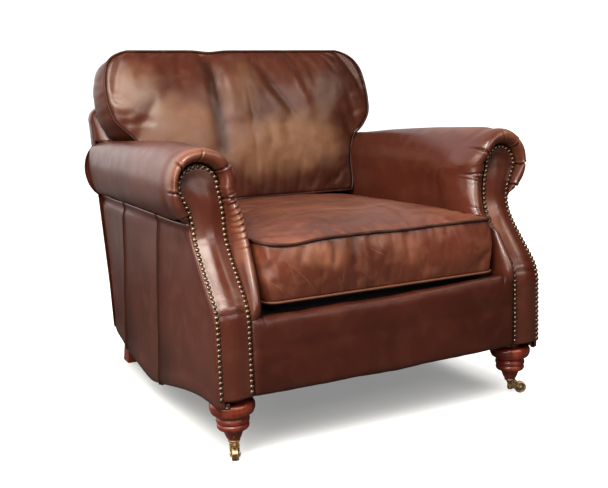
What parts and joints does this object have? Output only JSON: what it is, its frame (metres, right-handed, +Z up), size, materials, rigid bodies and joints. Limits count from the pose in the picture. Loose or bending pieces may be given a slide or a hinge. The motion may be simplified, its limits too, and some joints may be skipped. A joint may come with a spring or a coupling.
{
  "type": "club chair",
  "caption": "Worn leather club chair with rolled arms, nail-trimmed fronts, loose boxed seat and back cushions, turned front legs on casters.",
  "frame": {"origin": "on the floor, under the middle of the chair's bounding box", "axes": "+Z up, the chair faces -Y, +X is its right-hand side seen from the front"},
  "size_m": [0.946, 1.0296, 0.9108],
  "materials": {
    "leather": "worn aniline leather, dark red-brown, soft gloss",
    "cushion_leather": "worn aniline leather, lighter and creased, scratched",
    "welt": "dark piping leather, rubbed pale on its crest",
    "leg_wood": "red mahogany, glossy",
    "brass": "old brass, tarnished in the hollows",
    "frame_wood": "bare sawn hardwood",
    "steel": "drawn spring wire",
    "webbing": "jute webbing",
    "cloth": "black woven cambric",
    "foam": "cut upholstery foam"
  },
  "bodies": {
    "chair": {"front_seat_rail": "frame_wood", "back_seat_rail": "frame_wood", "side_seat_rail_left": "frame_wood", "side_seat_rail_right": "frame_wood", "corner_block_front_left": "frame_wood", "corner_block_front_right": "frame_wood", "corner_block_rear_left": "frame_wood", "corner_block_rear_right": "frame_wood", "arm_front_post_left": "frame_wood", "arm_front_post_right": "frame_wood", "arm_top_rail_left": "frame_wood", "arm_top_rail_right": "frame_wood", "back_post_left": "frame_wood", "back_post_right": "frame_wood", "back_top_rail": "frame_wood", "back_lower_rail": "frame_wood", "back_webbing_1": "webbing", "back_webbing_2": "webbing", "back_webbing_3": "webbing", "seat_spring_1": "steel", "seat_spring_2": "steel", "seat_spring_3": "steel", "seat_spring_4": "steel", "seat_spring_5": "steel", "arm_facing_left": "leather", "arm_facing_right": "leather", "arm_roll_left": "leather", "arm_roll_right": "leather", "inside_arm_left": "leather", "inside_arm_right": "leather", "outside_arm_left": "leather", "outside_arm_right": "leather", "front_border": "leather", "inside_back": "leather", "outside_back": "leather", "back_wing_left": "leather", "back_wing_right": "leather", "back_top_band": "leather", "seat_deck": "cloth", "dust_cover": "cloth", "seat_cushion_cover": "cushion_leather", "seat_cushion_core": "foam", "back_cushion_cover": "cushion_leather", "back_cushion_core": "foam", "seat_welt_top": "welt", "seat_welt_bottom": "welt", "back_welt_front": "welt", "back_welt_rear": "welt", "front_leg_left": "leg_wood", "front_leg_right": "leg_wood", "rear_leg_left": "leg_wood", "rear_leg_right": "leg_wood", "caster_stem_left": "brass", "caster_stem_right": "brass"},
    "horn_left": {"caster_horn_left": "brass", "caster_axle_left": "brass"},
    "wheel_left": {"caster_wheel_left": "brass"},
    "horn_right": {"caster_horn_right": "brass", "caster_axle_right": "brass"},
    "wheel_right": {"caster_wheel_right": "brass"}
  },
  "joints": [
    {"name": "caster_left_swivel", "type": "hinge", "parent": "chair", "child": "horn_left", "pos_m": [-0.3725, -0.45675, 0.0229], "axis": [0, 0, 1], "continuous": true},
    {"name": "caster_left_roll", "type": "hinge", "parent": "horn_left", "child": "wheel_left", "pos_m": [-0.38064, -0.48039, 0.01418], "axis": [0.9455, -0.3256, 0], "continuous": true},
    {"name": "caster_right_swivel", "type": "hinge", "parent": "chair", "child": "horn_right", "pos_m": [0.3725, -0.45675, 0.0229], "axis": [0, 0, 1], "continuous": true},
    {"name": "caster_right_roll", "type": "hinge", "parent": "horn_right", "child": "wheel_right", "pos_m": [0.39483, -0.46798, 0.01418], "axis": [0.4493, 0.8934, 0], "continuous": true}
  ]
}
